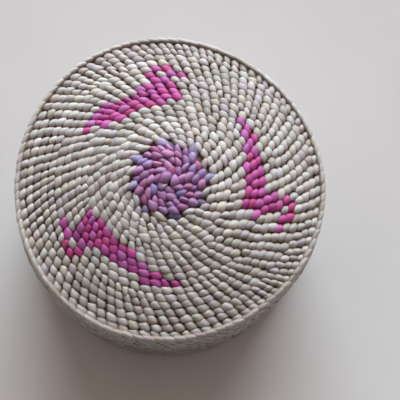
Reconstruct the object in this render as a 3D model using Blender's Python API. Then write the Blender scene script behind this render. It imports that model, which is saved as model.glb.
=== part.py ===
"""A small round trinket basket with a lid, wrapped-twined in grass over cedar-bark warps.

Metres, +Z up. The origin is on the table, under the middle of the basket. The base and the
lid each have an empty: the base's stands at the origin, the lid's on the same axis at the
height of the lid's shoulder. The lid lifts straight up along that axis.
"""
import math

import bmesh
import bpy

# Layers of the basketry, from the outside in
WEFT_THICKNESS = 0.0009       # grass stitches
WARP_THICKNESS = 0.0005       # cedar-bark strips
LINING_THICKNESS = 0.0005     # passive weft on the inside
CLEARANCE = 0.0003            # between touching pieces

# Lid
LID_RADIUS = 0.0380           # to the outside of the shoulder row
LID_RISE = 0.0066             # crown above the shoulder
DOME_POWER = 1.5              # 2 would be a parabola, 1 a cone
SHOULDER_HEIGHT = 0.0403      # table to shoulder
SHOULDER_ROW_WIDTH = 0.0014
SHOULDER_ROW_PROUD = 0.0004   # above the field
SHOULDER_OVERHANG = 0.0003    # beyond the flange
FLANGE_DEPTH = 0.0096         # shoulder to the flange's lower edge
FLANGE_EDGE_HEIGHT = 0.0014
FLANGE_EDGE_PROUD = 0.0002

# The lid is a little out of round: three soft lobes and a slight oval
LOBE_THREE = 0.00045
LOBE_THREE_AZIMUTH = math.radians(-2.0)
LOBE_TWO = 0.00015
LOBE_TWO_AZIMUTH = math.radians(-74.0)

# Rosette at the middle of the lid
KNOT_RADIUS = 0.0017
KNOT_PROUD = 0.0006
ROSETTE_RADIUS = 0.0100
ROSETTE_ROWS = 5
ROSETTE_ROW_PROUD = 0.0003    # crest of a coarse row above its valley

# Birds in the lid's field: an outline that all three share, as turn from the eye
# in degrees, anticlockwise, and as a share of the eye's radius on the lid
BIRD_EYE_AZIMUTHS = (94.0, 213.0, 347.0)
BIRD_EYE_RADIUS = 0.0276
BIRD_EYE_SIZE = 0.0013
BIRD_OUTLINE_STEP = 6.0       # degrees, the longest straight stretch along a row
BIRD_OUTLINE = (
    (-14.0, 1.014), (-6.5, 1.036), (-4.5, 1.087), (7.0, 1.087), (9.5, 0.986),
    (8.0, 0.899), (14.0, 0.855), (38.0, 0.826), (46.0, 0.928), (59.0, 0.942),
    (60.0, 0.877), (50.0, 0.819), (43.0, 0.717), (34.0, 0.659), (10.0, 0.638),
    (-6.0, 0.667), (-9.0, 0.761), (-5.0, 0.826), (-3.5, 0.913), (-6.5, 0.949),
    (-14.0, 0.978),
)

# Base
LID_FIT = 0.0003              # between the flange at its narrowest and the base
WALL_FLARE = 0.0033           # how much wider the wall is at its foot than at its rim
RIM_ROW_HEIGHT = 0.0014
HEEL_ROW_PROUD = 0.0002       # beyond the wall
HEEL_ROW_WIDTH = 0.0044
HEEL_ROW_HEIGHT = 0.0026
HEEL_BEVEL = 0.0005
STRIPE_WIDTH = 0.0016
LOWER_STRIPE_HEIGHT = 0.0100  # table to the stripe's lower edge
UPPER_STRIPE_HEIGHT = 0.0230

# Bottom: a plaited start and the twined rows round it
BOTTOM_LIFT = 0.0009          # table to the twined rows under the bottom
UNDER_WEFT_THICKNESS = 0.0006
PLAIT_PITCH = 0.0052
PLAIT_STRIP_WIDTH = 0.0040
PLAIT_STRIP_THICKNESS = 0.0005
PLAIT_RADIUS = 0.0185
WARP_RING_WIDTH = 0.0012      # where the plaited strips split into warps

# How finely round shapes are drawn
WARP_COUNT = 48
STEPS = 48                    # round a ring
ROSETTE_STEPS = 32
KNOT_STEPS = 16
DOME_SPANS = 4                # from the rosette to the shoulder
ROW_BEVEL = 0.0004            # on the rope-like rows
SMOOTH_ANGLE = math.radians(35.0)

# Sizes that follow
WALL_THICKNESS = WEFT_THICKNESS + WARP_THICKNESS + LINING_THICKNESS + 2 * CLEARANCE
WARP_DEPTH = WEFT_THICKNESS + CLEARANCE
LINING_DEPTH = WARP_DEPTH + WARP_THICKNESS + CLEARANCE
FIELD_RADIUS = LID_RADIUS - SHOULDER_ROW_WIDTH - CLEARANCE
FLANGE_RADIUS = LID_RADIUS - SHOULDER_OVERHANG
RIM_HEIGHT = SHOULDER_HEIGHT - WALL_THICKNESS - CLEARANCE
RIM_RADIUS = FLANGE_RADIUS - WALL_THICKNESS - LOBE_THREE - LOBE_TWO - LID_FIT
WALL_SLOPE = WALL_FLARE / RIM_HEIGHT
FLOOR_WARP_HEIGHT = BOTTOM_LIFT + UNDER_WEFT_THICKNESS + CLEARANCE
FLOOR_LINING_HEIGHT = FLOOR_WARP_HEIGHT + WARP_THICKNESS + CLEARANCE
FLOOR_HEIGHT = FLOOR_LINING_HEIGHT + LINING_THICKNESS
BOTTOM_RING_RADIUS = PLAIT_RADIUS + CLEARANCE
PLAIT_REACH = int((PLAIT_RADIUS - PLAIT_STRIP_WIDTH / 2) / PLAIT_PITCH)  # strips beside the middle one

# Colours, linear
NATURAL = (0.47, 0.43, 0.36)
NATURAL_DARK = (0.36, 0.31, 0.24)
CEDAR = (0.33, 0.19, 0.10)
MAGENTA = (0.46, 0.03, 0.24)
MAUVE = (0.33, 0.08, 0.25)
VIOLET = (0.16, 0.09, 0.27)


def clear_scene():
    for item in list(bpy.data.objects):
        bpy.data.objects.remove(item, do_unlink=True)


def finish(name, colour, roughness=0.75):
    """The piece's own matte plant-fibre material."""
    material = bpy.data.materials.new(name + "_finish")
    material.use_nodes = True
    shader = material.node_tree.nodes["Principled BSDF"]
    shader.inputs["Base Color"].default_value = (*colour, 1.0)
    shader.inputs["Roughness"].default_value = roughness
    shader.inputs["Metallic"].default_value = 0.0
    material.diffuse_color = (*colour, 1.0)
    return material


def frame(name, height):
    """An empty on the axis, which carries one body's pieces."""
    empty = bpy.data.objects.new(name, None)
    empty.location = (0.0, 0.0, height)
    bpy.context.scene.collection.objects.link(empty)
    return empty


def piece(name, mesh, colour, parent):
    item = bpy.data.objects.new(name, mesh)
    bpy.context.scene.collection.objects.link(item)
    item.parent = parent
    if mesh.materials:
        mesh.materials[0] = finish(name, colour)
    else:
        mesh.materials.append(finish(name, colour))
    return item


def finished_mesh(name, form):
    bmesh.ops.recalc_face_normals(form, faces=form.faces)
    mesh = bpy.data.meshes.new(name)
    form.to_mesh(mesh)
    form.free()
    mesh.shade_smooth()
    mesh.set_sharp_from_angle(angle=SMOOTH_ANGLE)
    return mesh


def lobed(azimuth, radius):
    """Radius on the lid, out of round in proportion to its distance from the middle."""
    three = LOBE_THREE * math.cos(3 * (azimuth - LOBE_THREE_AZIMUTH))
    two = LOBE_TWO * math.cos(2 * (azimuth - LOBE_TWO_AZIMUTH))
    return radius + (three + two) * radius / LID_RADIUS


def truly_round(azimuth, radius):
    return radius


def everywhere(span, step):
    return True


def turned_shell(name, outside, inside, plan, steps=STEPS, solid=everywhere):
    """A closed mesh between two lines of (radius, height) points, turned round the axis.

    The lines have as many points as each other. Their spans and the steps round the axis
    make cells, and solid says which of them are filled, so that strips can be left standing.
    """
    form = bmesh.new()
    corners = {}
    spans = len(outside) - 1

    def corner(line, place, step):
        radius, height = line[place]
        key = (line is outside, place, step % steps if radius > 0.0 else 0)
        if key not in corners:
            azimuth = math.tau * (step % steps) / steps
            reach = plan(azimuth, radius)
            corners[key] = form.verts.new((reach * math.cos(azimuth), reach * math.sin(azimuth), height))
        return corners[key]

    def face(*points):
        loop = [point for place, point in enumerate(points) if point is not points[place - 1]]
        if len(loop) > 2:
            form.faces.new(loop)

    def filled(span, step):
        return 0 <= span < spans and solid(span, step % steps)

    for span in range(spans):
        for step in range(steps):
            if not filled(span, step):
                continue
            ring = ((span, step), (span + 1, step), (span + 1, step + 1), (span, step + 1))
            face(*(corner(outside, *place) for place in ring))
            face(*(corner(inside, *place) for place in reversed(ring)))
            beyond = ((span, step - 1), (span + 1, step), (span, step + 1), (span - 1, step))
            for side, neighbour in enumerate(beyond):
                if not filled(*neighbour):
                    start = ring[side]
                    end = ring[(side + 1) % 4]
                    face(corner(outside, *end), corner(outside, *start),
                         corner(inside, *start), corner(inside, *end))
    return finished_mesh(name, form)


def row_lines(inner, outer, low, high, bevel=ROW_BEVEL):
    """The two lines of a rope-like row: a rectangle with bevelled corners."""
    outside = [(inner, high - bevel), (inner + bevel, high), (outer - bevel, high), (outer, high - bevel)]
    inside = [(inner, low + bevel), (inner + bevel, low), (outer - bevel, low), (outer, low + bevel)]
    return outside, inside


def dome_height(radius):
    """Top of the lid above its shoulder."""
    return LID_RISE * (1.0 - (radius / FIELD_RADIUS) ** DOME_POWER)


def dome_line(radii, depth):
    return [(radius, dome_height(radius) - depth) for radius in radii]


def evenly(start, end, spans):
    return [start + (end - start) * place / spans for place in range(spans + 1)]


def flange_radius(height, depth):
    """Radius on the flange, at a height below the shoulder and a depth into its wall."""
    return FLANGE_RADIUS - WALL_SLOPE * height - depth


def flange_line(heights, depth):
    return [(flange_radius(height, depth), height) for height in heights]


def wall_radius(height, depth):
    """Radius on the base's wall, at a height above the table and a depth into the wall."""
    return RIM_RADIUS + WALL_FLARE - WALL_SLOPE * height - depth


def wall_line(heights, depth):
    return [(wall_radius(height, depth), height) for height in heights]


def prism(name, outline, low, high):
    """A cutter that stands on an outline of (x, y) points."""
    form = bmesh.new()
    floor = [form.verts.new((x, y, low)) for x, y in outline]
    roof = [form.verts.new((x, y, high)) for x, y in outline]
    form.faces.new(floor)
    form.faces.new(roof)
    for place in range(len(outline)):
        form.faces.new((floor[place - 1], floor[place], roof[place], roof[place - 1]))
    cutter = bpy.data.objects.new(name, finished_mesh(name, form))
    bpy.context.scene.collection.objects.link(cutter)
    cutter.hide_render = True
    cutter.display_type = "WIRE"
    return cutter


def cut(target, cutter, operation):
    modifier = target.modifiers.new(cutter.name, "BOOLEAN")
    modifier.operation = operation
    modifier.object = cutter


def polar_outline(points, eye_azimuth):
    """Plan points of a bird, with extra ones where it runs along a row of stitches."""
    outline = []
    for place, (turn, radius_share) in enumerate(points):
        next_turn, next_radius_share = points[(place + 1) % len(points)]
        pieces = max(1, round(abs(next_turn - turn) / BIRD_OUTLINE_STEP))
        for part in range(pieces):
            share = part / pieces
            azimuth = math.radians(eye_azimuth + turn + (next_turn - turn) * share)
            between = radius_share + (next_radius_share - radius_share) * share
            reach = lobed(azimuth, BIRD_EYE_RADIUS * between)
            outline.append((reach * math.cos(azimuth), reach * math.sin(azimuth)))
    return outline


def grown(outline, distance):
    """The anticlockwise outline with each side moved out by a distance."""
    moved = []
    for place, (x, y) in enumerate(outline):
        before_x, before_y = outline[place - 1]
        after_x, after_y = outline[(place + 1) % len(outline)]
        first = math.atan2(y - before_y, x - before_x)
        second = math.atan2(after_y - y, after_x - x)
        half_bend = math.remainder(second - first, math.tau) / 2
        reach = distance / max(math.cos(half_bend), 0.5)
        facing = first + half_bend - math.pi / 2
        moved.append((x + reach * math.cos(facing), y + reach * math.sin(facing)))
    return moved


def square_outline(azimuth, radius, size):
    """A small square on the lid, turned to face the middle."""
    outline = []
    for corner_turn in (-0.75, -0.25, 0.25, 0.75):
        facing = azimuth + corner_turn * math.pi
        reach = size / math.sqrt(2)
        outline.append((lobed(azimuth, radius) * math.cos(azimuth) + reach * math.cos(facing),
                        lobed(azimuth, radius) * math.sin(azimuth) + reach * math.sin(facing)))
    return outline


def make_field_and_birds(lid):
    """The field's rows, with the birds and their eyes let into it."""
    radii = evenly(ROSETTE_RADIUS + CLEARANCE, FIELD_RADIUS, DOME_SPANS)
    rows = turned_shell("lid_field_rows", dome_line(radii, 0.0), dome_line(radii, WEFT_THICKNESS), lobed)
    field = piece("lid_field_rows", rows, NATURAL, lid)
    low = -2 * WEFT_THICKNESS
    high = LID_RISE + WEFT_THICKNESS
    for place, eye_azimuth in enumerate(BIRD_EYE_AZIMUTHS, start=1):
        outline = polar_outline(BIRD_OUTLINE, eye_azimuth)
        eye_outline = square_outline(math.radians(eye_azimuth), BIRD_EYE_RADIUS, BIRD_EYE_SIZE)
        bird = piece(f"bird_{place}", rows.copy(), MAGENTA, lid)
        eye = piece(f"bird_{place}_eye", rows.copy(), NATURAL, lid)
        pocket = prism(f"bird_{place}_pocket", grown(outline, CLEARANCE), low, high)
        form = prism(f"bird_{place}_form", outline, low, high)
        eye_pocket = prism(f"bird_{place}_eye_pocket", grown(eye_outline, CLEARANCE), low, high)
        eye_form = prism(f"bird_{place}_eye_form", eye_outline, low, high)
        for cutter in (pocket, form, eye_pocket, eye_form):
            cutter.parent = lid
        cut(field, pocket, "DIFFERENCE")
        cut(bird, form, "INTERSECT")
        cut(bird, eye_pocket, "DIFFERENCE")
        cut(eye, eye_form, "INTERSECT")


def make_rosette(lid):
    """The coarse mauve rows, and the knot of strands that they start from."""
    knot_spans = 3
    crown = [(radius, height + KNOT_PROUD * (1.0 - (radius / KNOT_RADIUS) ** 2))
             for radius, height in dome_line(evenly(0.0, KNOT_RADIUS, knot_spans), 0.0)]
    under = dome_line(evenly(0.0, KNOT_RADIUS, knot_spans), WEFT_THICKNESS)
    knot = turned_shell("start_knot", crown, under, truly_round, KNOT_STEPS)
    piece("start_knot", knot, VIOLET, lid)

    radii = evenly(KNOT_RADIUS + CLEARANCE, ROSETTE_RADIUS, 2 * ROSETTE_ROWS)
    crests = [(radius, height + ROSETTE_ROW_PROUD * (place % 2))
              for place, (radius, height) in enumerate(dome_line(radii, 0.0))]
    rows = turned_shell("rosette_rows", crests, dome_line(radii, WEFT_THICKNESS), lobed, ROSETTE_STEPS)
    piece("rosette_rows", rows, MAUVE, lid)


def make_lid_warps(lid):
    """Strips that radiate from the middle under the stitches and turn down into the flange."""
    shoulder = flange_radius(0.0, WARP_DEPTH)
    radii = evenly(ROSETTE_RADIUS, shoulder, DOME_SPANS)
    bottom = -FLANGE_DEPTH + FLANGE_EDGE_HEIGHT + CLEARANCE
    outside = [(0.0, dome_height(0.0) - WARP_DEPTH), *dome_line(radii, WARP_DEPTH),
               (flange_radius(bottom, WARP_DEPTH), bottom)]
    under_depth = WARP_DEPTH + WARP_THICKNESS
    radii = evenly(ROSETTE_RADIUS, shoulder - WARP_THICKNESS, DOME_SPANS)
    inside = [(0.0, dome_height(0.0) - under_depth), *dome_line(radii, under_depth),
              (flange_radius(bottom, under_depth), bottom)]

    def strip(span, step):
        return span == 0 or step % 2 == 0

    warps = turned_shell("lid_warps", outside, inside, lobed, 2 * WARP_COUNT, strip)
    piece("lid_warps", warps, CEDAR, lid)


def make_lid_linings(lid):
    """The passive weft inside the dome and inside the flange."""
    shoulder = flange_radius(-LINING_DEPTH, LINING_DEPTH)
    radii = evenly(0.0, shoulder, DOME_SPANS)
    dome = turned_shell("dome_lining", dome_line(radii, LINING_DEPTH),
                        dome_line(radii, WALL_THICKNESS), lobed)
    piece("dome_lining", dome, NATURAL_DARK, lid)

    heights = (-WALL_THICKNESS - CLEARANCE, -FLANGE_DEPTH + FLANGE_EDGE_HEIGHT + CLEARANCE)
    flange = turned_shell("flange_lining", flange_line(heights, LINING_DEPTH),
                          flange_line(heights, WALL_THICKNESS), lobed)
    piece("flange_lining", flange, NATURAL_DARK, lid)


def make_lid_edges(lid):
    """The shoulder row, the flange's rows and its finishing row."""
    shoulder_low = -WEFT_THICKNESS
    outside, inside = row_lines(LID_RADIUS - SHOULDER_ROW_WIDTH, LID_RADIUS, shoulder_low, SHOULDER_ROW_PROUD)
    piece("shoulder_row", turned_shell("shoulder_row", outside, inside, lobed), NATURAL, lid)

    edge_top = -FLANGE_DEPTH + FLANGE_EDGE_HEIGHT
    heights = (shoulder_low - CLEARANCE, edge_top + CLEARANCE)
    flange = turned_shell("flange_rows", flange_line(heights, 0.0), flange_line(heights, WEFT_THICKNESS), lobed)
    piece("flange_rows", flange, NATURAL, lid)

    outside, inside = row_lines(flange_radius(-FLANGE_DEPTH, WALL_THICKNESS),
                                flange_radius(-FLANGE_DEPTH, -FLANGE_EDGE_PROUD), -FLANGE_DEPTH, edge_top)
    piece("flange_edge_row", turned_shell("flange_edge_row", outside, inside, lobed), NATURAL, lid)


def plait_strip(name, middle, first_height):
    """One strip of the plaited start, which runs along X over and under the crossing strips."""
    knees = []
    for crossing in range(-PLAIT_REACH, PLAIT_REACH + 1):
        height = first_height if crossing % 2 else -first_height
        for side in (-1, 1):
            knees.append((crossing * PLAIT_PITCH + side * PLAIT_STRIP_WIDTH / 2, height))
    knees[0] = (-PLAIT_RADIUS - CLEARANCE, knees[0][1])
    knees[-1] = (PLAIT_RADIUS + CLEARANCE, knees[-1][1])
    form = bmesh.new()
    sections = []
    for x, height in knees:
        section = []
        for across, side in ((-1, -1), (1, -1), (1, 1), (-1, 1)):
            y = middle + across * PLAIT_STRIP_WIDTH / 2
            section.append(form.verts.new((x, y, height + side * PLAIT_STRIP_THICKNESS / 2)))
        sections.append(section)
    form.faces.new(sections[0])
    form.faces.new(sections[-1])
    for first, second in zip(sections, sections[1:]):
        for corner in range(4):
            form.faces.new((first[corner - 1], first[corner], second[corner], second[corner - 1]))
    return finished_mesh(name, form)


def make_plait(base):
    """The checker-plaited start: strips along X, and strips turned a quarter to run along Y."""
    height = FLOOR_WARP_HEIGHT + WARP_THICKNESS / 2
    sway = (PLAIT_STRIP_THICKNESS + CLEARANCE) / 2
    disc = [(PLAIT_RADIUS * math.cos(math.tau * step / (2 * STEPS)),
             PLAIT_RADIUS * math.sin(math.tau * step / (2 * STEPS))) for step in range(2 * STEPS)]
    edge = prism("plait_edge", disc, 0.0, RIM_HEIGHT)
    edge.parent = base
    for direction, turn, over in (("across", 0.0, 1), ("along", math.pi / 2, -1)):
        for place in range(-PLAIT_REACH, PLAIT_REACH + 1):
            name = f"plait_strip_{direction}_{place + PLAIT_REACH + 1}"
            first_height = over * sway * (-1 if place % 2 else 1)
            strip = piece(name, plait_strip(name, place * PLAIT_PITCH, first_height), CEDAR, base)
            strip.location = (0.0, 0.0, height)
            strip.rotation_euler = (0.0, 0.0, turn)
            cut(strip, edge, "INTERSECT")


def make_bottom(base):
    """Twined rows under the bottom, the inner weft on the floor, and the heel row."""
    heel_outer = wall_radius(0.0, -HEEL_ROW_PROUD)
    heel_inner = heel_outer - HEEL_ROW_WIDTH
    under_top = BOTTOM_LIFT + UNDER_WEFT_THICKNESS
    radii = (BOTTOM_RING_RADIUS, heel_inner - CLEARANCE)
    under = turned_shell("bottom_rows", [(radius, under_top) for radius in radii],
                         [(radius, BOTTOM_LIFT) for radius in radii], truly_round)
    piece("bottom_rows", under, NATURAL_DARK, base)

    radii = (BOTTOM_RING_RADIUS, wall_radius(FLOOR_LINING_HEIGHT, LINING_DEPTH))
    floor = turned_shell("floor_lining", [(radius, FLOOR_HEIGHT) for radius in radii],
                         [(radius, FLOOR_LINING_HEIGHT) for radius in radii], truly_round)
    piece("floor_lining", floor, NATURAL_DARK, base)

    wall_inner = wall_radius(0.0, WEFT_THICKNESS)
    outside = [(heel_inner, under_top), (wall_inner, under_top), (wall_inner, HEEL_ROW_HEIGHT),
               (heel_outer - HEEL_BEVEL, HEEL_ROW_HEIGHT), (heel_outer, HEEL_ROW_HEIGHT - HEEL_BEVEL)]
    inside = [(heel_inner, HEEL_BEVEL), (heel_inner + HEEL_BEVEL, 0.0), (wall_inner, 0.0),
              (heel_outer - HEEL_BEVEL, 0.0), (heel_outer, HEEL_BEVEL)]
    piece("heel_row", turned_shell("heel_row", outside, inside, truly_round), NATURAL, base)


def make_base_warps(base):
    """Strips that radiate from the plaited start and turn up into the wall."""
    top = RIM_HEIGHT - RIM_ROW_HEIGHT - CLEARANCE
    floor = FLOOR_WARP_HEIGHT
    ring_outer = BOTTOM_RING_RADIUS + WARP_RING_WIDTH
    outside = [(BOTTOM_RING_RADIUS, floor), (ring_outer, floor),
               (wall_radius(floor, WARP_DEPTH), floor), (wall_radius(top, WARP_DEPTH), top)]
    floor += WARP_THICKNESS
    inner_depth = WARP_DEPTH + WARP_THICKNESS
    inside = [(BOTTOM_RING_RADIUS, floor), (ring_outer, floor),
              (wall_radius(floor, inner_depth), floor), (wall_radius(top, inner_depth), top)]

    def strip(span, step):
        return span == 0 or step % 2 == 0

    warps = turned_shell("base_warps", outside, inside, truly_round, 2 * WARP_COUNT, strip)
    piece("base_warps", warps, CEDAR, base)


def make_wall(base):
    """The wall's rows with their two dyed stripes, the lining, and the rim row."""
    rim_low = RIM_HEIGHT - RIM_ROW_HEIGHT
    stretches = (
        ("wall_foot_rows", HEEL_ROW_HEIGHT, LOWER_STRIPE_HEIGHT, NATURAL),
        ("wall_lower_stripe", LOWER_STRIPE_HEIGHT, LOWER_STRIPE_HEIGHT + STRIPE_WIDTH, MAUVE),
        ("wall_middle_rows", LOWER_STRIPE_HEIGHT + STRIPE_WIDTH, UPPER_STRIPE_HEIGHT, NATURAL),
        ("wall_upper_stripe", UPPER_STRIPE_HEIGHT, UPPER_STRIPE_HEIGHT + STRIPE_WIDTH, MAGENTA),
        ("wall_neck_rows", UPPER_STRIPE_HEIGHT + STRIPE_WIDTH, rim_low - CLEARANCE, NATURAL),
    )
    for name, low, high, colour in stretches:
        heights = (high, low + CLEARANCE)
        rows = turned_shell(name, wall_line(heights, 0.0), wall_line(heights, WEFT_THICKNESS), truly_round)
        piece(name, rows, colour, base)

    heights = (rim_low - CLEARANCE, FLOOR_HEIGHT + CLEARANCE)
    lining = turned_shell("wall_lining", wall_line(heights, LINING_DEPTH),
                          wall_line(heights, WALL_THICKNESS), truly_round)
    piece("wall_lining", lining, NATURAL_DARK, base)

    outside, inside = row_lines(wall_radius(RIM_HEIGHT, WALL_THICKNESS), wall_radius(rim_low, 0.0),
                                rim_low, RIM_HEIGHT)
    piece("rim_row", turned_shell("rim_row", outside, inside, truly_round), NATURAL, base)


def main():
    clear_scene()
    base = frame("base", 0.0)
    make_plait(base)
    make_bottom(base)
    make_base_warps(base)
    make_wall(base)
    lid = frame("lid", SHOULDER_HEIGHT)
    make_rosette(lid)
    make_field_and_birds(lid)
    make_lid_warps(lid)
    make_lid_linings(lid)
    make_lid_edges(lid)


main()
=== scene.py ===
"""The looks of a small lidded basket, wrapped-twined in grass over strips of cedar bark.

Every grass stitch is a closed pillow of its own, laid on the CAD model's surfaces in rows.
Lengths are in millimetres and become metres where a mesh, a lamp or the camera is made.
"""
import math

import bpy
import numpy as np
from mathutils import Matrix, Vector


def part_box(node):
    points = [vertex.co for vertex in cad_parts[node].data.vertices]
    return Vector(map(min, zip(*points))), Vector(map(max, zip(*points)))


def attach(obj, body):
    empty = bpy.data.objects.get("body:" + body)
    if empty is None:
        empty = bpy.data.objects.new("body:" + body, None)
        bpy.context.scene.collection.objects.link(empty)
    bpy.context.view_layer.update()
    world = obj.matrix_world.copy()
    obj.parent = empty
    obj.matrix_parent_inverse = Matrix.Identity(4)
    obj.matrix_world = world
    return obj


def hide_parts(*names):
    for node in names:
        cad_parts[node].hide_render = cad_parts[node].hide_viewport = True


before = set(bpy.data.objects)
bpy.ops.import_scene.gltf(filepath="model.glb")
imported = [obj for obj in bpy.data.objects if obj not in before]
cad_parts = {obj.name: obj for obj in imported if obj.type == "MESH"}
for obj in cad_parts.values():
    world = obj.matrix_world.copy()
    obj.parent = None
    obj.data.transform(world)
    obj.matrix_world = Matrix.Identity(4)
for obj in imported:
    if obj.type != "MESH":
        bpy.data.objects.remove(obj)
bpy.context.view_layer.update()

MM = 0.001

# Surfaces of the CAD model
SHOULDER_HEIGHT = 40.3
LID_RADIUS = 38.0
FIELD_RADIUS = 36.3
LID_RISE = 6.6
DOME_POWER = 1.5
FLANGE_RADIUS = 37.7
FOOT_RADIUS = 37.6
WALL_SLOPE = 0.088
WALL_THICKNESS = 2.5
LOBE_THREE = 0.45
LOBE_THREE_AZIMUTH = math.radians(-2.0)
LOBE_TWO = 0.15
LOBE_TWO_AZIMUTH = math.radians(-74.0)

# Rows of stitches
FIELD_ROWS = 17
ROSETTE_RADIUS = 10.0
ROSETTE_RINGS = (2.9, 4.6, 6.2, 7.75)
ROSETTE_COUNTS = (8, 13, 17, 21)
BORDER_RADIUS = 9.35
BORDER_LEAVES = (25.0, 74.0, 127.0, 167.0, 213.0, 255.0, 303.0, 341.0)
FIELD_EDGE = 36.65
ROW_PITCH = (FIELD_EDGE - ROSETTE_RADIUS) / FIELD_ROWS
RIM_COUNT = 97                # stitches round the edge of the lid
COUNT_RADII = (10.7, 14.0, FIELD_EDGE)
COUNTS = (30, 32, RIM_COUNT)  # stitches in a row at those radii
COLUMN_LEAN = math.radians(30.0)
ROW_DRIFT = 0.76              # of the rows half-way out, toward +X
ROW_DRAW = 0.31               # of the same rows, inward
ROW_SPREAD = 0.45             # of the last rows, outward, and most of all toward -Y

DOME_LINING_ENDS = (1.0, 34.5)
DOME_LINING_RADII = (0.0, 22.0, 35.6)
DOME_LINING_COUNTS = (4, 62, RIM_COUNT)
FEWEST_IN_ROW = 6
BOTTOM_ENDS = (18.8, 33.1)    # radii of the twined rows round the plaited start
BOTTOM_ROWS = 10
UNDER_HEIGHT = 0.9            # table to the rows under the bottom
INNER_FLOOR_HEIGHT = 3.1      # table to the rows on the floor inside

# Rope-like rows: their middles, and which way they face, in degrees above level
SHOULDER_RING_INSET = 0.66
SHOULDER_RING_DROP = 0.28
SHOULDER_RING_FACING = 58.0
FLANGE_EDGE_RINGS = ((0.5, -20.0), (1.75, -90.0))     # (depth under the surface, facing)
RIM_RINGS = ((0.72, 60.0), (1.85, 120.0))             # (depth under the surface, facing)
HEEL_RINGS = ((36.9, 1.75, 10.0), (36.4, 1.08, -60.0), (34.6, 1.05, -90.0))   # (radius, height, facing)

# Skin of bark strips close together under the stitches
WARP_DEPTH = 1.2
WARP_THICKNESS = 0.5
DOME_STEPS = 24
ROUND_STEPS = 2 * RIM_COUNT

# How columns of stitches grow
START_UNEVENNESS = 0.3        # share of the spacing in the first row
SPLIT_UNEVENNESS = 0.25       # of the choice where a column splits
EVENING_ROUNDS = 12           # in which each stitch moves toward the middle of its neighbours
EVENING_SHARE = 0.45

# Unevenness of a usual stitch, as standard deviations
SLANT_SPREAD = 5.0            # degrees
SIZE_SPREAD = 0.07            # share of the length and of the width
HEIGHT_SPREAD = 0.05          # share of the height
RISE_SPREAD = 0.06
TILT_SPREAD = 0.05
PLACE_SPREAD = 0.07
BEND_SPREAD = 0.2             # share of the width by which a stitch's ends bend to one side
BEND_BALANCE = 0.3            # part of that by which its middle bends to the other side
TAPER_SPREAD = 0.15           # share by which one end is thicker than the middle
MOST_TAPER = 0.3
TONE_RUN = 6                  # stitches that share a tone, about
RUN_TONE_SPREAD = 0.10
TONE_SPREAD = 0.13
FIBRE_OFFSETS = 50.0          # range over which the stitches' fibres start

# Painted shade where a stitch tucks in: its colour is darkened on its sunk sides and ends, where shade falls
# between stitches
PAINTED_SHADE_START = 0.58             # height above the stitch's middle, of 1, below which painted shade darkens it
PAINTED_SHADE_RUN = 0.30               # height over which the painted shade grows to its full depth
PAINTED_SHADE_TINT = (0.62, 0.49, 0.42)

# Birds in the lid's field: eye as (row, azimuth), and rows as (row, first, last) in degrees
# anticlockwise from the eye
BIRD_EYES = ((11, 94.5), (11, 213.5), (11, 347.5))
# Tones of the birds' magenta: the top bird, toward the key, is set lighter and the left bird, away from it,
# darker, as painted light and shade.
BIRD_TONES = (0.52, 0.36, 0.47)
BIRD_CHARTS = (
    ((6, -5, 35), (7, -9.5, 44.5), (8, -9.5, 49), (9, -7, 14), (9, 33.5, 58.5), (10, -5, 7.5),
     (11, -13, 8), (12, -5, 5.5)),
    ((6, -4.5, 34.5), (7, -10.5, 45.5), (8, -7.5, 53), (9, -7, 11.5), (9, 41.5, 62.5), (10, -5, 6.5),
     (11, -14.5, 10), (12, -4.5, 6)),
    ((5, -4, 27.5), (6, -8.5, 38), (7, -10, 47), (8, -7.5, 9), (8, 39, 55.5), (9, -5, 6.5),
     (10, -4, 7), (11, -12.5, 7), (12, -5, 4.5)),
)

# Camera, fitted to the photograph
CAMERA_AIM = (7.56, -3.60, 40.0)
CAMERA_DISTANCE = 260.0
CAMERA_TILT = math.radians(13.45)     # from straight down
CAMERA_AZIMUTH = math.radians(-8.90)
CAMERA_ROLL = math.radians(-0.22)
FOCAL_PIXELS = 1068.0
PHOTO_PIXELS = 400.0
SENSOR_WIDTH = 36.0

# Light
KEY_AZIMUTH = math.radians(84.0)
KEY_ELEVATION = math.radians(24.0)
KEY_WIDTH = math.radians(50.0)        # as seen from the basket, so that its shadows are soft
KEY_STRENGTH = 4.6
KEY_COLOUR = (0.83, 0.93, 1.0)
FILL_STRENGTH = 0.35          # from above; it grows toward the key and fades away from it
FILL_COLOUR = (1.0, 0.79, 0.71)
FLOOR_SIZE = 3000.0
FLOOR_COLOUR = (0.72, 0.71, 0.70)
FLOOR_MOTTLE = 0.97                   # shade of its darkest patches
HORIZON_COLOUR = (0.82, 0.82, 0.835)     # as the lit floor looks far away

# Colours, linear
NATURAL = ((0.38, 0.36, 0.345), (0.70, 0.695, 0.69))
MAGENTA = ((0.33, 0.024, 0.16), (0.71, 0.115, 0.48))
MAUVE = ((0.27, 0.075, 0.215), (0.66, 0.32, 0.62))
VIOLET = ((0.06, 0.03, 0.11), (0.62, 0.56, 0.86))
INNER = ((0.24, 0.19, 0.13), (0.44, 0.38, 0.29))
CEDAR = ((0.12, 0.09, 0.07), (0.34, 0.26, 0.20))


def own_random(name):
    """Random numbers that belong to one piece, so that no other piece changes them."""
    return np.random.default_rng(sum(place * ord(letter) for place, letter in enumerate(name, 1)))


def lobed(azimuth, radius):
    """Radius on the lid, which is a little out of round."""
    three = LOBE_THREE * np.cos(3 * (azimuth - LOBE_THREE_AZIMUTH))
    two = LOBE_TWO * np.cos(2 * (azimuth - LOBE_TWO_AZIMUTH))
    return radius + (three + two) * radius / LID_RADIUS


def truly_round(azimuth, radius):
    return radius + 0.0 * azimuth


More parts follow.
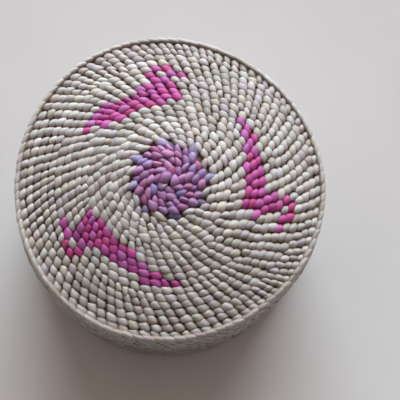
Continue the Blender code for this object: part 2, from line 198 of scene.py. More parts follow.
def turned(line, plan, way):
    """A surface turned round the axis: point(turn, distance along its line).

    Turn runs anticlockwise as seen from the outside of the basket. The lid was started from
    its top (way 1) and the base from its bottom (way -1).
    """
    def point(turn, distance):
        radius, height = line(distance)
        azimuth = way * turn
        reach = plan(azimuth, radius)
        return np.stack((reach * np.cos(azimuth), reach * np.sin(azimuth), height + 0.0 * azimuth), axis=-1)
    return point


def dome(depth):
    """The lid's top: distance is the radius."""
    def line(distance):
        fall = (np.abs(distance) / FIELD_RADIUS) ** DOME_POWER
        return distance, SHOULDER_HEIGHT + LID_RISE * (1.0 - fall) - depth
    return turned(line, lobed, 1)


def flange(depth):
    """The lid's turned-down side: distance is downward from the shoulder."""
    def line(distance):
        return FLANGE_RADIUS + WALL_SLOPE * distance - depth, SHOULDER_HEIGHT - distance
    return turned(line, lobed, 1)


def bottom(height):
    """A flat ring under the basket or on its floor: distance is the radius."""
    def line(distance):
        return distance, height + 0.0 * distance
    return turned(line, truly_round, -1)


def wall(depth):
    """The base's side: distance is the height."""
    def line(distance):
        return FOOT_RADIUS - WALL_SLOPE * distance - depth, distance
    return turned(line, truly_round, -1)


def rope_ring(radius, height, facing, plan, way):
    """A ring for one rope-like row, whose outside faces so many degrees above level."""
    run = math.radians(facing) - way * math.pi / 2

    def line(distance):
        return radius + distance * math.cos(run), height + distance * math.sin(run)
    return turned(line, plan, way)


def unit(vectors):
    return vectors / np.linalg.norm(vectors, axis=-1, keepdims=True)


def axes_on(surface, turn, distance):
    """Points on a surface, with the ways round it, along its line and out of it."""
    step = 1e-3
    point = surface(turn, distance)
    round_it = unit(surface(turn + step, distance) - surface(turn - step, distance))
    along_it = unit(surface(turn, distance + step) - surface(turn, distance - step))
    return point, round_it, along_it, unit(np.cross(along_it, round_it))


class Stitches:
    """The places of many stitches on one surface: each array has one entry per stitch."""

    def __init__(self, surface, turn, distance, spacing, row):
        self.surface = surface
        self.turn = turn
        self.distance = distance
        self.spacing = spacing
        self.row = row

    def where(self, chosen):
        return Stitches(self.surface, self.turn[chosen], self.distance[chosen],
                        self.spacing[chosen], self.row[chosen])


def grow_columns(surface, distances, counts, random):
    """Rows of stitches in columns that lean, and that split where a row has room for more."""
    uneven = START_UNEVENNESS * random.uniform(-1, 1, counts[0])
    turns = np.sort(np.arange(counts[0]) + uneven) * math.tau / counts[0]
    rows = []
    for row, (distance, count) in enumerate(zip(distances, counts)):
        while len(turns) < count:
            gaps = np.diff(turns, append=turns[0] + math.tau)
            place = int(np.argmax(gaps * (1.0 + SPLIT_UNEVENNESS * random.random(len(gaps)))))
            turns = np.insert(turns, place + 1, turns[place] + gaps[place] / 2)
        for _ in range(EVENING_ROUNDS):
            before = np.roll(turns, 1)
            before[0] -= math.tau
            after = np.roll(turns, -1)
            after[-1] += math.tau
            turns = turns + EVENING_SHARE * ((before + after) / 2 - turns)
        reach = np.linalg.norm(surface(turns, np.full(len(turns), distance))[:, :2], axis=1)
        spacing = reach * (after - before) / 2
        rows.append(Stitches(surface, turns, np.full(len(turns), distance), spacing,
                             np.full(len(turns), row)))
        if row + 1 < len(distances):
            pitch = abs(distances[row + 1] - distance)
            turns = turns + math.tan(COLUMN_LEAN) * pitch / reach
    return Stitches(surface, *(np.concatenate([getattr(made, field) for made in rows])
                               for field in ("turn", "distance", "spacing", "row")))


def even_rows(surface, low, high, random):
    """Rows of equally many stitches that fill a band."""
    number = max(1, round(abs(high - low) / ROW_PITCH))
    middles = low + (high - low) * (np.arange(number) + 0.5) / number
    return grow_columns(surface, middles, [RIM_COUNT] * number, random)


def ring_of(surface, random):
    """One row, as for a rope-like edge."""
    return grow_columns(surface, [0.0], [RIM_COUNT], random)


class Shape:
    """The form of the stitches of one kind, in millimetres and degrees."""

    def __init__(self, width, height, length=None, fill=1.0, slant=25.0, sink=0.45, arch=0.22,
                 tilt=0.05, shear=0.8, loose=1.0, tone=0.5):
        self.width = width            # over the whole stitch
        self.height = height
        self.length = length          # None: as long as the spacing, times fill
        self.fill = fill
        self.slant = slant            # from the row, away from the start of the weaving
        self.sink = sink              # of the stitch's middle under the surface
        self.arch = arch              # by which its ends lie lower than its middle
        self.tilt = tilt              # by which its far end lies higher
        self.shear = shear            # of its ends, so that they lie along the column
        self.loose = loose            # share of the usual unevenness
        self.tone = tone              # 0: the material's dark shade, 1: its light one


def pillow(rings, sides, bluntness=3.3, squareness=3.0, crest=None):
    """A closed pillow from -1 to 1 along x: its points, its triangles and its four-sided faces.

    Crest is the bluntness of its height, where that isn't the one of its width.
    """
    along = np.sin(np.linspace(-math.pi / 2, math.pi / 2, rings + 2))[1:-1]
    widths = (1.0 - np.abs(along) ** bluntness) ** (1.0 / bluntness)
    crest = crest or bluntness
    heights = (1.0 - np.abs(along) ** crest) ** (1.0 / crest)
    angle = math.tau * (np.arange(sides) + 0.5) / sides
    reach = (np.abs(np.cos(angle)) ** squareness + np.abs(np.sin(angle)) ** squareness) ** (-1.0 / squareness)
    points = [(-1.0, 0.0, 0.0)]
    for x, width, height in zip(along, widths, heights):
        points += [(x, width * r * math.cos(a), height * r * math.sin(a)) for a, r in zip(angle, reach)]
    points.append((1.0, 0.0, 0.0))
    last = len(points) - 1
    triangles = []
    quads = []
    for side in range(sides):
        after = (side + 1) % sides
        triangles.append((0, 1 + after, 1 + side))
        triangles.append((last, last - sides + side, last - sides + after))
        for ring in range(rings - 1):
            low = 1 + ring * sides
            quads.append((low + side, low + after, low + sides + after, low + sides + side))
    return np.array(points), np.array(triangles), np.array(quads)


FINE = pillow(rings=8, sides=12, bluntness=2.4, squareness=3.4, crest=1.9)
ROPE = pillow(rings=7, sides=10, bluntness=3.0, squareness=2.4)
MEDIUM = pillow(rings=6, sides=8)
COARSE = pillow(rings=4, sides=6)


def runs(count, length, random):
    """One random value per stitch, which neighbours share over runs of about that length."""
    run = np.cumsum(random.random(count) < 1.0 / length)
    return random.normal(size=run[-1] + 1)[run]


def lay(stitches, shape, form, random):
    """Points of every stitch, and what the materials read at them."""
    points = form[0]
    count = len(stitches.turn)
    place, round_it, along_it, outward = axes_on(stitches.surface, stitches.turn, stitches.distance)
    slant = np.radians(shape.slant + SLANT_SPREAD * shape.loose * random.normal(size=count))[:, None]
    long_way = np.cos(slant) * round_it + np.sin(slant) * along_it
    cross_way = np.cross(outward, long_way)
    length = np.full(count, shape.length) if shape.length else shape.fill * stitches.spacing
    half_length = 0.5 * length * (1.0 + SIZE_SPREAD * shape.loose * random.normal(size=count))
    half_width = 0.5 * shape.width * (1.0 + SIZE_SPREAD * shape.loose * random.normal(size=count))
    half_height = 0.5 * shape.height * (1.0 + HEIGHT_SPREAD * shape.loose * random.normal(size=count))
    rise = RISE_SPREAD * shape.loose * random.normal(size=count) - shape.sink
    tilt = shape.tilt + TILT_SPREAD * shape.loose * random.normal(size=count)
    shift = PLACE_SPREAD * shape.loose * random.normal(size=(count, 2))
    tone = (shape.tone + RUN_TONE_SPREAD * runs(count, TONE_RUN, random)
            + TONE_SPREAD * random.normal(size=count))
    hue = random.random(count)
    offset = FIBRE_OFFSETS * random.random(count)
    bend = BEND_SPREAD * shape.loose * random.normal(size=count)
    taper = np.clip(TAPER_SPREAD * shape.loose * random.normal(size=count), -MOST_TAPER, MOST_TAPER)

    x, y, z = points[:, 0], points[:, 1], points[:, 2]
    thick = 1.0 + taper[:, None] * x
    sideways = half_width[:, None] * (thick * y + bend[:, None] * (x ** 2 - BEND_BALANCE)) + shift[:, 1:]
    lengthwise = half_length[:, None] * x - shape.shear * sideways + shift[:, :1]
    upward = half_height[:, None] * thick * z + rise[:, None] + tilt[:, None] * x - shape.arch * x ** 2
    laid = (place[:, None, :] + lengthwise[:, :, None] * long_way[:, None, :]
            + sideways[:, :, None] * cross_way[:, None, :] + upward[:, :, None] * outward[:, None, :])

    girth = half_width[:, None] * np.arctan2(z, y)
    strand = np.stack((lengthwise, girth, offset[:, None] + 0.0 * girth), axis=-1)
    # Painted shade: the colour darkens toward the stitch's sunk sides and ends, where shade falls between
    # stitches.
    painted_shade = np.clip((PAINTED_SHADE_START - z + 2.0 * shape.arch / shape.height * x ** 2) / PAINTED_SHADE_RUN, 0.0, 1.0)
    return (laid, np.repeat(np.clip(tone, 0.0, 1.0), len(points)), np.repeat(hue, len(points)),
            np.tile(painted_shade, count), strand)


def stitch_mesh(name, groups, form):
    """One mesh of all the stitches in groups of (stitches, shape)."""
    random = own_random(name)
    made = [lay(stitches, shape, form, random) for stitches, shape in groups]
    laid, tone, hue, painted_shade, strand = (np.concatenate(parts) for parts in zip(*made))
    points, triangles, quads = form
    firsts = len(points) * np.arange(len(laid))
    corners = np.concatenate([(firsts[:, None] + triangles.reshape(-1)).ravel(),
                              (firsts[:, None] + quads.reshape(-1)).ravel()])
    sizes = np.repeat((3, 4), (len(triangles) * len(laid), len(quads) * len(laid)))
    mesh = bpy.data.meshes.new(name)
    mesh.vertices.add(len(laid) * len(points))
    mesh.vertices.foreach_set("co", (laid * MM).astype(np.float32).ravel())
    mesh.loops.add(len(corners))
    mesh.loops.foreach_set("vertex_index", corners.astype(np.int32))
    mesh.polygons.add(len(sizes))
    mesh.polygons.foreach_set("loop_start", (np.cumsum(sizes) - sizes).astype(np.int32))
    for field, kind, key, values in (("tone", "FLOAT", "value", tone), ("hue", "FLOAT", "value", hue),
                                     ("painted_shade", "FLOAT", "value", painted_shade),
                                     ("strand", "FLOAT_VECTOR", "vector", strand)):
        layer = mesh.attributes.new(field, kind, "POINT")
        layer.data.foreach_set(key, values.astype(np.float32).ravel())
    mesh.update(calc_edges=True)
    mesh.shade_smooth()
    return mesh


def turned_solid(name, line, plan):
    """A closed mesh from a closed line of (radius, height), or one that begins and ends on the axis."""
    azimuth = math.tau * np.arange(ROUND_STEPS) / ROUND_STEPS
    points = []
    rings = []
    for radius, height in line:
        if radius == 0.0:
            rings.append([len(points)] * ROUND_STEPS)
            points.append((0.0, 0.0, height * MM))
        else:
            rings.append(range(len(points), len(points) + ROUND_STEPS))
            for reach, turn in zip(plan(azimuth, radius), azimuth):
                points.append((reach * math.cos(turn) * MM, reach * math.sin(turn) * MM, height * MM))
    faces = []
    for place in range(len(rings)):
        before, after = rings[place - 1], rings[place]
        for step in range(ROUND_STEPS):
            ahead = (step + 1) % ROUND_STEPS
            loop = (before[step], after[step], after[ahead], before[ahead])
            corners = [corner for number, corner in enumerate(loop) if corner != loop[number - 1]]
            if len(corners) > 2:
                faces.append(corners)
    mesh = bpy.data.meshes.new(name)
    mesh.from_pydata(points, [], faces)
    mesh.shade_smooth()
    return mesh


def add_piece(name, mesh, body, materials, slot, nodes):
    """A visible piece that moves with a body, in its slot's material, in place of some CAD nodes."""
    item = bpy.data.objects.new(name, mesh)
    bpy.context.scene.collection.objects.link(item)
    mesh.materials.append(materials[slot])
    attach(item, body)
    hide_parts(*nodes)


def add_stitches(name, groups, form, body, materials, slot, nodes):
    """A piece that is made of groups of (stitches, shape)."""
    add_piece(name, stitch_mesh(name, groups, form), body, materials, slot, nodes)


class Nodes:
    """A material's node tree, built a node at a time."""

    def __init__(self, name):
        self.material = bpy.data.materials.new(name)
        self.material.use_nodes = True
        self.tree = self.material.node_tree
        self.shader = self.tree.nodes["Principled BSDF"]

    def add(self, kind, **settings):
        node = self.tree.nodes.new(kind)
        for key, value in settings.items():
            setattr(node, key, value)
        return node

    def link(self, start, end):
        self.tree.links.new(start, end)

    def attribute(self, name):
        return self.add("ShaderNodeAttribute", attribute_name=name)

    def ramp(self, factor, stops):
        """A colour ramp with (position, colour) stops."""
        node = self.add("ShaderNodeValToRGB")
        elements = node.color_ramp.elements
        while len(elements) < len(stops):
            elements.new(1.0)
        for element, (position, colour) in zip(elements, stops):
            element.position = position
            element.color = (*colour, 1.0)
        self.link(factor, node.inputs["Fac"])
        return node.outputs["Color"]

    def multiply(self, first, second):
        node = self.add("ShaderNodeMix", data_type="RGBA", blend_type="MULTIPLY")
        node.inputs["Factor"].default_value = 1.0
        self.link(first, node.inputs["A"])
        self.link(second, node.inputs["B"])
        return node.outputs["Result"]

    def noise(self, vector, scale, detail, stretch=(1.0, 1.0, 1.0)):
        mapping = self.add("ShaderNodeMapping")
        mapping.inputs["Scale"].default_value = stretch
        self.link(vector, mapping.inputs["Vector"])
        node = self.add("ShaderNodeTexNoise")
        node.inputs["Scale"].default_value = scale
        node.inputs["Detail"].default_value = detail
        self.link(mapping.outputs["Vector"], node.inputs["Vector"])
        return node.outputs["Fac"]

    def bump(self, height, strength, distance):
        node = self.add("ShaderNodeBump")
        node.inputs["Strength"].default_value = strength
        node.inputs["Distance"].default_value = distance * MM
        self.link(height, node.inputs["Height"])
        self.link(node.outputs["Normal"], self.shader.inputs["Normal"])


def grey(value):
    return (value, value, value)


def grass(name, shades, tints, roughness=0.6):
    """Split grass: a shade and a tint for each stitch, fine fibres along it, and painted shade where it tucks
    in.
    """
    nodes = Nodes(name)
    shade = nodes.ramp(nodes.attribute("tone").outputs["Fac"], ((0.0, shades[0]), (1.0, shades[1])))
    tint = nodes.ramp(nodes.attribute("hue").outputs["Fac"], tints)
    strand = nodes.attribute("strand").outputs["Vector"]
    fibres = nodes.noise(strand, scale=1.0, detail=3.0, stretch=(0.5, 5.0, 1.0))
    streaks = nodes.ramp(fibres, ((0.3, grey(0.80)), (0.7, grey(1.08))))
    # Painted shade where a stitch tucks in between its neighbours.
    painted_crease_shade = nodes.ramp(nodes.attribute("painted_shade").outputs["Fac"], ((0.0, grey(1.0)), (1.0, PAINTED_SHADE_TINT)))
    colour = nodes.multiply(nodes.multiply(nodes.multiply(shade, tint), streaks), painted_crease_shade)
    nodes.link(colour, nodes.shader.inputs["Base Color"])
    nodes.shader.inputs["Roughness"].default_value = roughness
    nodes.bump(fibres, strength=0.35, distance=0.05)
    return nodes.material


def bark(name):
    """Strips of inner bark: matte, with short fibres."""
    nodes = Nodes(name)
    fibres = nodes.noise(nodes.add("ShaderNodeTexCoord").outputs["Object"], scale=900.0, detail=4.0)
    colour = nodes.ramp(fibres, ((0.25, CEDAR[0]), (0.75, CEDAR[1])))
    nodes.link(colour, nodes.shader.inputs["Base Color"])
    nodes.shader.inputs["Roughness"].default_value = 0.8
    nodes.bump(fibres, strength=0.5, distance=0.1)
    return nodes.material


NATURAL_TINTS = (
    (0.00, (1.00, 1.00, 1.00)), (0.45, (1.00, 0.99, 0.97)), (0.60, (1.02, 0.96, 0.85)),
    (0.72, (0.95, 1.00, 0.92)), (0.84, (1.02, 0.93, 0.93)), (0.94, (0.93, 0.91, 1.00)),
    (1.00, (0.90, 0.80, 0.78)),
)
MAGENTA_TINTS = (
    (0.00, (1.00, 0.80, 0.75)), (0.45, (1.00, 1.00, 1.00)), (0.80, (0.95, 1.40, 1.20)),
    (1.00, (0.85, 2.00, 1.35)),
)
MAUVE_TINTS = (
    (0.00, (1.00, 0.75, 0.72)), (0.30, (1.00, 1.00, 1.00)), (0.75, (0.90, 1.12, 1.12)),
    (1.00, (0.62, 1.15, 1.20)),
)


def make_materials():
    return {
        "natural_grass": grass("natural_grass", NATURAL, NATURAL_TINTS),
        "magenta_grass": grass("magenta_grass", MAGENTA, MAGENTA_TINTS),
        "mauve_grass": grass("mauve_grass", MAUVE, MAUVE_TINTS),
        "violet_grass": grass("violet_grass", VIOLET, NATURAL_TINTS),
        "inner_weft": grass("inner_weft", INNER, NATURAL_TINTS, roughness=0.7),
        "cedar_bark": bark("cedar_bark"),
    }


def chart_mask(stitches, eye, chart):
    """The stitches that a bird's chart takes, its eye among them."""
    turn_from_eye = np.degrees(np.remainder(stitches.turn - math.radians(eye) + math.pi, math.tau) - math.pi)
    taken = np.zeros(len(stitches.turn), bool)
    for row, first, last in chart:
        taken |= (stitches.row == row) & (turn_from_eye >= first) & (turn_from_eye <= last)
    return taken


def eye_mask(stitches, row, eye):
    """The one stitch that is nearest to a bird's eye."""
    away = np.abs(np.remainder(stitches.turn - math.radians(eye) + math.pi, math.tau) - math.pi)
    away = np.where(stitches.row == row, away, math.tau)
    return np.arange(len(away)) == np.argmin(away)


def field_stitch(tone=0.5):
    return Shape(width=2.25, height=1.4, fill=1.04, slant=-8.0, sink=0.48, shear=0.38, arch=0.20, tilt=0.02,
                 tone=tone)


def drifted(turn, distance):
    """Where the rows really lie, which is a little off centre."""
    place = (distance - ROSETTE_RADIUS) / (FIELD_EDGE - ROSETTE_RADIUS)
    middle = np.sin(math.pi * place) * (ROW_DRIFT * np.cos(turn) - ROW_DRAW)
    return distance + middle + place ** 3 * ROW_SPREAD * (1.0 - np.sin(turn))


def make_field(materials):
    """The lid's rows of natural grass with the three birds in them."""
    distances = ROSETTE_RADIUS + ROW_PITCH * (np.arange(FIELD_ROWS) + 0.5)
    counts = np.round(np.interp(distances, COUNT_RADII, COUNTS)).astype(int)
    field = grow_columns(dome(0.0), distances, counts, own_random("field_columns_127"))
    field.distance = drifted(field.turn, field.distance)
    natural = np.ones(len(field.turn), bool)
    for place, ((eye_row, eye), tone, chart) in enumerate(zip(BIRD_EYES, BIRD_TONES, BIRD_CHARTS), start=1):
        is_eye = eye_mask(field, eye_row, eye)
        is_bird = chart_mask(field, eye, chart) & ~is_eye
        natural &= ~is_bird & ~is_eye
        add_stitches(f"bird_{place}_stitches", [(field.where(is_bird), field_stitch(tone))], FINE,
                     "lid", materials, "magenta_grass", [f"bird_{place}"])
        add_stitches(f"bird_{place}_eye_stitch", [(field.where(is_eye), field_stitch())], FINE,
                     "lid", materials, "natural_grass", [f"bird_{place}_eye"])
    add_stitches("field_stitches", [(field.where(natural), field_stitch())], FINE,
                 "lid", materials, "natural_grass", ["lid_field_rows"])


def crown(turn, distance):
    """The middle of the dome, with turn as y and distance as x."""
    radius = np.hypot(turn, distance)
    height = SHOULDER_HEIGHT + LID_RISE * (1.0 - (radius / FIELD_RADIUS) ** DOME_POWER)
    return np.stack((distance, turn, height), axis=-1)


def one_stitch(surface, turn, distance):
    """A stitch by itself, whose length its shape gives."""
    return Stitches(surface, *(np.array([value]) for value in (turn, distance, 1.0, 0)))


def border(azimuths):
    """Stitches round the rosette, at azimuths in degrees."""
    turns = np.radians(azimuths)
    radii = np.full(len(turns), BORDER_RADIUS)
    return Stitches(dome(0.0), turns, radii, radii, np.zeros(len(turns), int))


def make_rosette(materials):
    """The coarse mauve rows round the knot that the lid was started from, and their border."""
    rings = grow_columns(dome(0.0), ROSETTE_RINGS, ROSETTE_COUNTS, own_random("rosette_columns"))
    shape = Shape(width=2.35, height=1.9, fill=1.04, slant=-8.0, sink=0.40, arch=0.22, tilt=0.10,
                  shear=0.38, loose=1.6)
    under = Stitches(rings.surface, rings.turn + 0.5 * rings.spacing / rings.distance, rings.distance,
                     rings.spacing, rings.row)
    add_stitches("rosette_stitches", [(rings, shape)], FINE,
                 "lid", materials, "mauve_grass", ["rosette_rows"])

    leaves = np.array(BORDER_LEAVES)
    between = (leaves + np.append(leaves[1:], leaves[0] + 360.0)) / 2
    violet = Shape(width=2.5, height=1.5, length=3.2, slant=8.0, sink=0.42, arch=0.30, shear=0.5, loose=2.0)
    # Violet grass under the mauve rows; its very low tone paints the shade in the gaps between the chains.
    gap_shade_filling = Shape(width=2.3, height=1.2, length=3.2, slant=10.0, sink=1.05, arch=0.1, tone=0.1)
    add_stitches("rosette_violet_stitches", [(border(between), violet), (under, gap_shade_filling)], FINE,
                 "lid", materials, "violet_grass", ["rosette_rows"])
    pale = [
        (border(leaves), Shape(width=1.8, height=1.5, length=4.0, slant=8.0, sink=0.30, arch=0.55,
                               loose=1.5)),
        (one_stitch(crown, -2.1, -1.3), Shape(width=1.1, height=1.2, length=2.0, slant=20.0, sink=0.0)),
    ]
    add_stitches("rosette_border_stitches", pale, FINE, "lid", materials, "natural_grass", ["rosette_rows"])

    strands = [
        (one_stitch(crown, 0.1, -0.9), Shape(width=2.5, height=2.1, length=3.6, slant=15.0, sink=-0.10,
                                             arch=0.5, shear=0.2)),
        (one_stitch(crown, -0.6, 1.2), Shape(width=2.2, height=2.1, length=4.0, slant=-8.0, sink=-0.10,
                                             arch=0.6, shear=0.3)),
        (one_stitch(crown, 1.9, 0.4), Shape(width=2.0, height=1.7, length=3.0, slant=-50.0, sink=0.20,
                                            arch=0.4, shear=0.2)),
    ]
    add_stitches("start_knot_strands", strands, FINE, "lid", materials, "mauve_grass", ["start_knot"])


def heights_of(node):
    """The lowest and the highest height of a CAD node."""
    low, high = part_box(node)
    return low.z / MM, high.z / MM


SIDE_STITCH = Shape(width=1.66, height=1.2, fill=0.95, slant=7.0, sink=0.42, shear=0.42, arch=0.18)
SHOULDER_STITCH = Shape(width=1.40, height=1.35, length=3.7, slant=4.0, sink=0.0, arch=0.06, tilt=0.04,
                        shear=0.3, loose=0.5)
ROPE_STITCH = Shape(width=1.55, height=1.40, length=4.2, slant=7.0, sink=0.0, arch=0.10, tilt=0.08,
                    shear=0.3, loose=0.6)
HEEL_STITCH = Shape(width=1.9, height=1.7, length=4.2, slant=8.0, sink=0.0, arch=0.1, tilt=0.08,
                    shear=0.3, loose=0.6)
INNER_STITCH = Shape(width=1.35, height=0.9, fill=1.0, slant=-12.0, sink=0.40, arch=0.15)


def make_lid_side(materials):
    """The shoulder, the flange and its edge."""
    ring = rope_ring(LID_RADIUS - SHOULDER_RING_INSET, SHOULDER_HEIGHT - SHOULDER_RING_DROP,
                     SHOULDER_RING_FACING, lobed, 1)
    shoulder = ring_of(ring, own_random("shoulder"))
    add_stitches("shoulder_stitches", [(shoulder, SHOULDER_STITCH)], ROPE,
                 "lid", materials, "natural_grass", ["shoulder_row"])

    low, high = heights_of("flange_rows")
    rows = even_rows(flange(0.0), SHOULDER_HEIGHT - high, SHOULDER_HEIGHT - low, own_random("flange"))
    add_stitches("flange_stitches", [(rows, SIDE_STITCH)], MEDIUM,
                 "lid", materials, "natural_grass", ["flange_rows"])

    low, high = heights_of("flange_edge_row")
    middle = (low + high) / 2
    outer_radius = FLANGE_RADIUS + WALL_SLOPE * (SHOULDER_HEIGHT - middle)
    groups = []
    for depth, facing in FLANGE_EDGE_RINGS:
        ring = rope_ring(outer_radius - depth, middle, facing, lobed, 1)
        groups.append((ring_of(ring, own_random("flange_edge")), ROPE_STITCH))
    add_stitches("flange_edge_stitches", groups, MEDIUM,
                 "lid", materials, "natural_grass", ["flange_edge_row"])


def inside_of(surface):
    """The same surface seen from its inside."""
    def point(turn, distance):
        return surface(-turn, distance)
    return point


def make_lid_inside(materials):
    """The passive weft on the inside of the lid."""
    distances = np.arange(*DOME_LINING_ENDS, ROW_PITCH)
    counts = np.round(np.interp(distances, DOME_LINING_RADII, DOME_LINING_COUNTS))
    counts = np.maximum(FEWEST_IN_ROW, counts).astype(int)
    rows = grow_columns(inside_of(dome(WALL_THICKNESS)), distances, counts, own_random("dome_lining"))
    add_stitches("dome_lining_stitches", [(rows, INNER_STITCH)], COARSE,
                 "lid", materials, "inner_weft", ["dome_lining"])

    low, high = heights_of("flange_lining")
    rows = even_rows(inside_of(flange(WALL_THICKNESS)), SHOULDER_HEIGHT - high, SHOULDER_HEIGHT - low,
                     own_random("flange_lining"))
    add_stitches("flange_lining_stitches", [(rows, INNER_STITCH)], COARSE,
                 "lid", materials, "inner_weft", ["flange_lining"])


WALL_BANDS = (
    ("wall_foot", "wall_foot_rows", "natural_grass"),
    ("wall_lower_stripe", "wall_lower_stripe", "mauve_grass"),
    ("wall_middle", "wall_middle_rows", "natural_grass"),
    ("wall_upper_stripe", "wall_upper_stripe", "magenta_grass"),
    ("wall_neck", "wall_neck_rows", "natural_grass"),
)


def make_wall(materials):
    """The base's side, its lining and its rim row."""
    for label, node, slot in WALL_BANDS:
        low, high = heights_of(node)
        rows = even_rows(wall(0.0), low, high, own_random(label))
        add_stitches(label + "_stitches", [(rows, SIDE_STITCH)], MEDIUM, "base", materials, slot, [node])

    low, high = heights_of("wall_lining")
    rows = even_rows(inside_of(wall(WALL_THICKNESS)), low, high, own_random("wall_lining"))
    add_stitches("wall_lining_stitches", [(rows, INNER_STITCH)], COARSE,
                 "base", materials, "inner_weft", ["wall_lining"])

    low, high = heights_of("rim_row")
    middle = (low + high) / 2
    outer_radius = FOOT_RADIUS - WALL_SLOPE * middle
    groups = []
    for depth, facing in RIM_RINGS:
        ring = rope_ring(outer_radius - depth, middle, facing, truly_round, -1)
        groups.append((ring_of(ring, own_random("rim")), ROPE_STITCH))
    add_stitches("rim_stitches", groups, MEDIUM, "base", materials, "natural_grass", ["rim_row"])


def make_bottom(materials):
    """The rows under the bottom and on the floor, and the heel that the basket stands on."""
    inner, outer = BOTTOM_ENDS
    distances = inner + (outer - inner) * (np.arange(BOTTOM_ROWS) + 0.5) / BOTTOM_ROWS
    counts = np.round(np.interp(distances, COUNT_RADII, COUNTS)).astype(int)
    rows = grow_columns(bottom(UNDER_HEIGHT), distances, counts, own_random("bottom"))
    add_stitches("bottom_stitches", [(rows, SIDE_STITCH)], MEDIUM,
                 "base", materials, "inner_weft", ["bottom_rows"])

    rows = grow_columns(inside_of(bottom(INNER_FLOOR_HEIGHT)), distances, counts, own_random("floor_lining"))
    add_stitches("floor_lining_stitches", [(rows, INNER_STITCH)], COARSE,
                 "base", materials, "inner_weft", ["floor_lining"])

    groups = []
    for radius, height, facing in HEEL_RINGS:
        ring = rope_ring(radius, height, facing, truly_round, -1)
        groups.append((ring_of(ring, own_random("heel")), HEEL_STITCH))
    add_stitches("heel_stitches", groups, MEDIUM, "base", materials, "natural_grass", ["heel_row"])


def make_warps(materials):
    """The bark strips close together under the stitches, as one skin for the lid and one for the base."""
    low, _ = heights_of("lid_warps")
    outer = FLANGE_RADIUS - WARP_DEPTH
    line = []
    for depth, order in ((WARP_DEPTH, 1), (WARP_DEPTH + WARP_THICKNESS, -1)):
        radii = np.linspace(0.0, outer - (depth - WARP_DEPTH), DOME_STEPS)
        tops = SHOULDER_HEIGHT + LID_RISE * (1.0 - (radii / FIELD_RADIUS) ** DOME_POWER) - depth
        skin = [*zip(radii, tops), (FLANGE_RADIUS + WALL_SLOPE * (SHOULDER_HEIGHT - low) - depth, low)]
        line += skin[::order]
    mesh = turned_solid("lid_bark", line, lobed)
    add_piece("lid_bark", mesh, "lid", materials, "cedar_bark", ["lid_warps"])

    low, high = heights_of("base_warps")
    line = []
    for depth, order in ((0.0, 1), (WARP_THICKNESS, -1)):
        floor = low + depth
        skin = [(BOTTOM_ENDS[0], floor), (FOOT_RADIUS - WALL_SLOPE * floor - WARP_DEPTH - depth, floor),
                (FOOT_RADIUS - WALL_SLOPE * high - WARP_DEPTH - depth, high)]
        line += skin[::order]
    mesh = turned_solid("base_bark", line, truly_round)
    add_piece("base_bark", mesh, "base", materials, "cedar_bark", ["base_warps"])


def finish_cad_pieces(materials):
    """The bark pieces keep their CAD shape and get their own finish."""
    for name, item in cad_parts.items():
        if name.startswith("plait_strip"):
            item.data.materials.clear()
            item.data.materials.append(materials["cedar_bark"])


def make_floor():
    """A plain pale floor."""
    nodes = Nodes("floor")
    paper = nodes.noise(nodes.add("ShaderNodeTexCoord").outputs["Object"], scale=40.0, detail=3.0)
    shades = tuple(channel * FLOOR_MOTTLE for channel in FLOOR_COLOUR)
    nodes.link(nodes.ramp(paper, ((0.3, shades), (0.7, FLOOR_COLOUR))), nodes.shader.inputs["Base Color"])
    nodes.shader.inputs["Roughness"].default_value = 0.9
    half = FLOOR_SIZE / 2 * MM
    mesh = bpy.data.meshes.new("floor")
    mesh.from_pydata([(-half, -half, 0.0), (half, -half, 0.0), (half, half, 0.0), (-half, half, 0.0)],
                     [], [(0, 1, 2, 3)])
    mesh.materials.append(nodes.material)
    floor = bpy.data.objects.new("floor", mesh)
    bpy.context.scene.collection.objects.link(floor)


def make_camera():
    """The camera at the photograph's viewing angle."""
    back = Vector((math.sin(CAMERA_TILT) * math.sin(CAMERA_AZIMUTH),
                   -math.sin(CAMERA_TILT) * math.cos(CAMERA_AZIMUTH), math.cos(CAMERA_TILT)))
    right = Vector((math.sin(CAMERA_ROLL), math.cos(CAMERA_ROLL), 0.0)).cross(back).normalized()
    up = back.cross(right)
    data = bpy.data.cameras.new("camera")
    data.sensor_width = SENSOR_WIDTH
    data.lens = SENSOR_WIDTH * FOCAL_PIXELS / PHOTO_PIXELS
    camera = bpy.data.objects.new("camera", data)
    bpy.context.scene.collection.objects.link(camera)
    place = (Vector(CAMERA_AIM) + CAMERA_DISTANCE * back) * MM
    camera.matrix_world = Matrix.Translation(place) @ Matrix((right, up, back)).transposed().to_4x4()
    bpy.context.scene.camera = camera


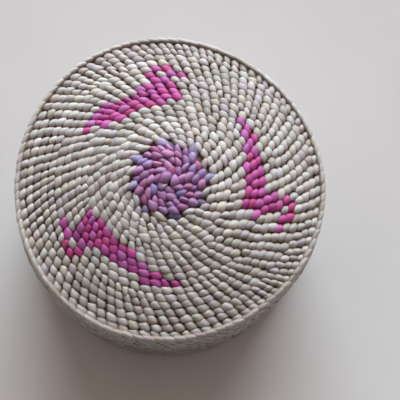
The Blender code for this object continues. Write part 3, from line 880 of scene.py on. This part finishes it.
def make_light():
    """A low, broad key light from the far side, and a pale world that fills the shadows."""
    data = bpy.data.lights.new("key", "SUN")
    data.angle = KEY_WIDTH
    data.energy = KEY_STRENGTH
    data.color = KEY_COLOUR
    key = bpy.data.objects.new("key", data)
    bpy.context.scene.collection.objects.link(key)
    toward = Vector((math.cos(KEY_AZIMUTH) * math.cos(KEY_ELEVATION),
                     math.sin(KEY_AZIMUTH) * math.cos(KEY_ELEVATION), math.sin(KEY_ELEVATION)))
    key.rotation_mode = "QUATERNION"
    key.rotation_quaternion = toward.to_track_quat("Z", "Y")

    world = bpy.data.worlds.new("studio")
    world.use_nodes = True
    tree = world.node_tree
    coordinates = tree.nodes.new("ShaderNodeTexCoord")
    nearness = tree.nodes.new("ShaderNodeVectorMath")
    nearness.operation = "DOT_PRODUCT"
    nearness.inputs[1].default_value = (math.cos(KEY_AZIMUTH), math.sin(KEY_AZIMUTH), 0.0)
    strength = tree.nodes.new("ShaderNodeMapRange")
    strength.interpolation_type = "SMOOTHSTEP"
    strength.inputs["From Min"].default_value = -1.0
    strength.inputs["To Max"].default_value = 2.0 * FILL_STRENGTH
    background = tree.nodes["Background"]
    background.inputs["Color"].default_value = (*FILL_COLOUR, 1.0)
    seen = tree.nodes.new("ShaderNodeBackground")
    seen.inputs["Color"].default_value = (*HORIZON_COLOUR, 1.0)
    rays = tree.nodes.new("ShaderNodeLightPath")
    looked = rays.outputs["Is Camera Ray"]
    for kind in ("Is Glossy Ray", "Is Transmission Ray"):
        either = tree.nodes.new("ShaderNodeMath")
        either.operation = "MAXIMUM"
        tree.links.new(looked, either.inputs[0])
        tree.links.new(rays.outputs[kind], either.inputs[1])
        looked = either.outputs["Value"]
    mix = tree.nodes.new("ShaderNodeMixShader")
    tree.links.new(coordinates.outputs["Generated"], nearness.inputs[0])
    tree.links.new(nearness.outputs["Value"], strength.inputs["Value"])
    tree.links.new(strength.outputs["Result"], background.inputs["Strength"])
    tree.links.new(looked, mix.inputs["Fac"])
    tree.links.new(background.outputs["Background"], mix.inputs[1])
    tree.links.new(seen.outputs["Background"], mix.inputs[2])
    tree.links.new(mix.outputs["Shader"], tree.nodes["World Output"].inputs["Surface"])
    bpy.context.scene.world = world


def main():
    make_camera()
    make_light()
    make_floor()
    materials = make_materials()
    make_rosette(materials)
    make_field(materials)
    make_lid_side(materials)
    make_lid_inside(materials)
    make_wall(materials)
    make_bottom(materials)
    make_warps(materials)
    finish_cad_pieces(materials)
    bpy.context.scene.view_settings.view_transform = "Standard"


main()
